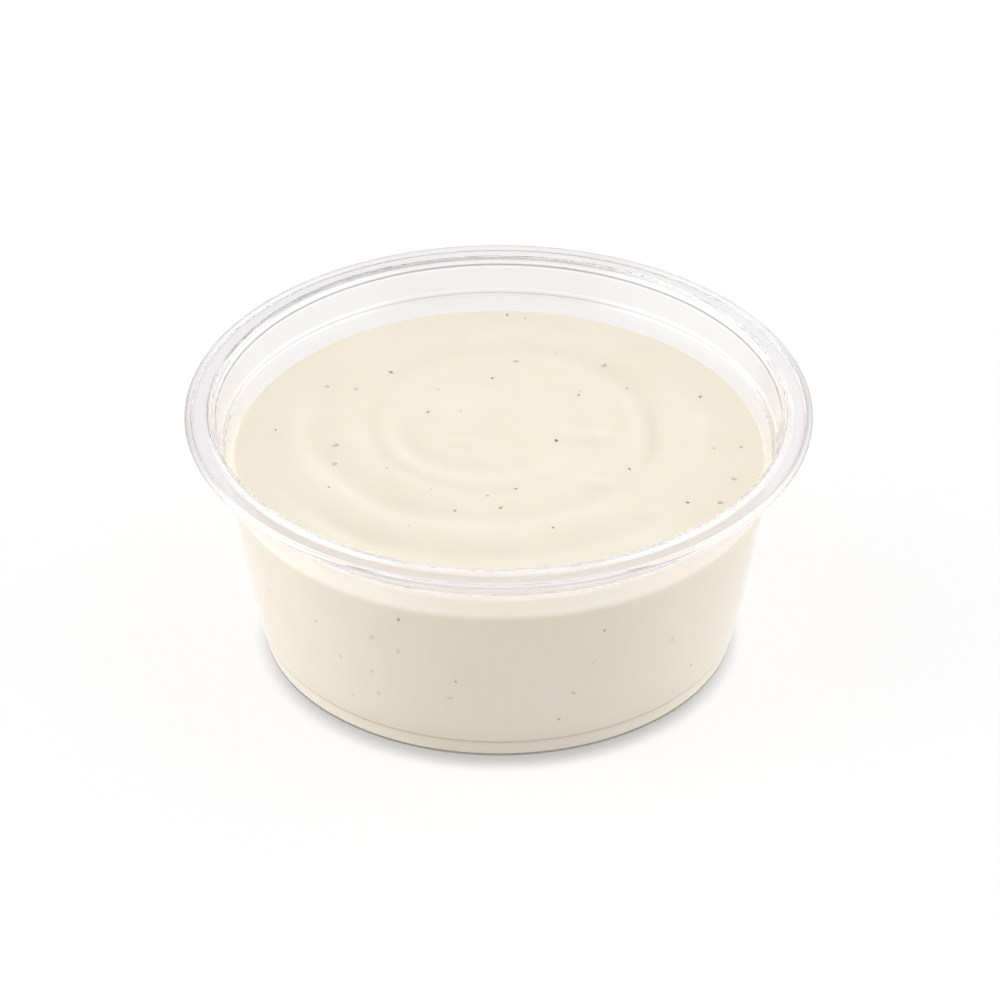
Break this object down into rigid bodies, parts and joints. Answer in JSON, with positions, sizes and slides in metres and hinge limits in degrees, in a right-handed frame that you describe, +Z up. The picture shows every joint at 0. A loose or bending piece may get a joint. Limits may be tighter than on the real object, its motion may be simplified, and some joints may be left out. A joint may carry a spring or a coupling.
{
  "type": "tzatziki dip in a clear plastic portion cup",
  "caption": "Cream-white yoghurt dip with a soft swirl, filling a clear tapered portion cup with a rolled lip almost to the rim; stands on its foot ring.",
  "frame": {"origin": "centre of the foot ring's underside, on the surface the cup stands on", "axes": "+Z up along the cup's axis, +Y towards the back, where the swirl's middle lies, +X to the right"},
  "size_m": [0.074, 0.074, 0.0305],
  "materials": {
    "clear_plastic": "clear, smooth and glossy",
    "cream_dip": "moist, softly glossy cream"
  },
  "bodies": {
    "root": {"cup": "clear_plastic", "dip": "cream_dip"}
  },
  "joints": []
}
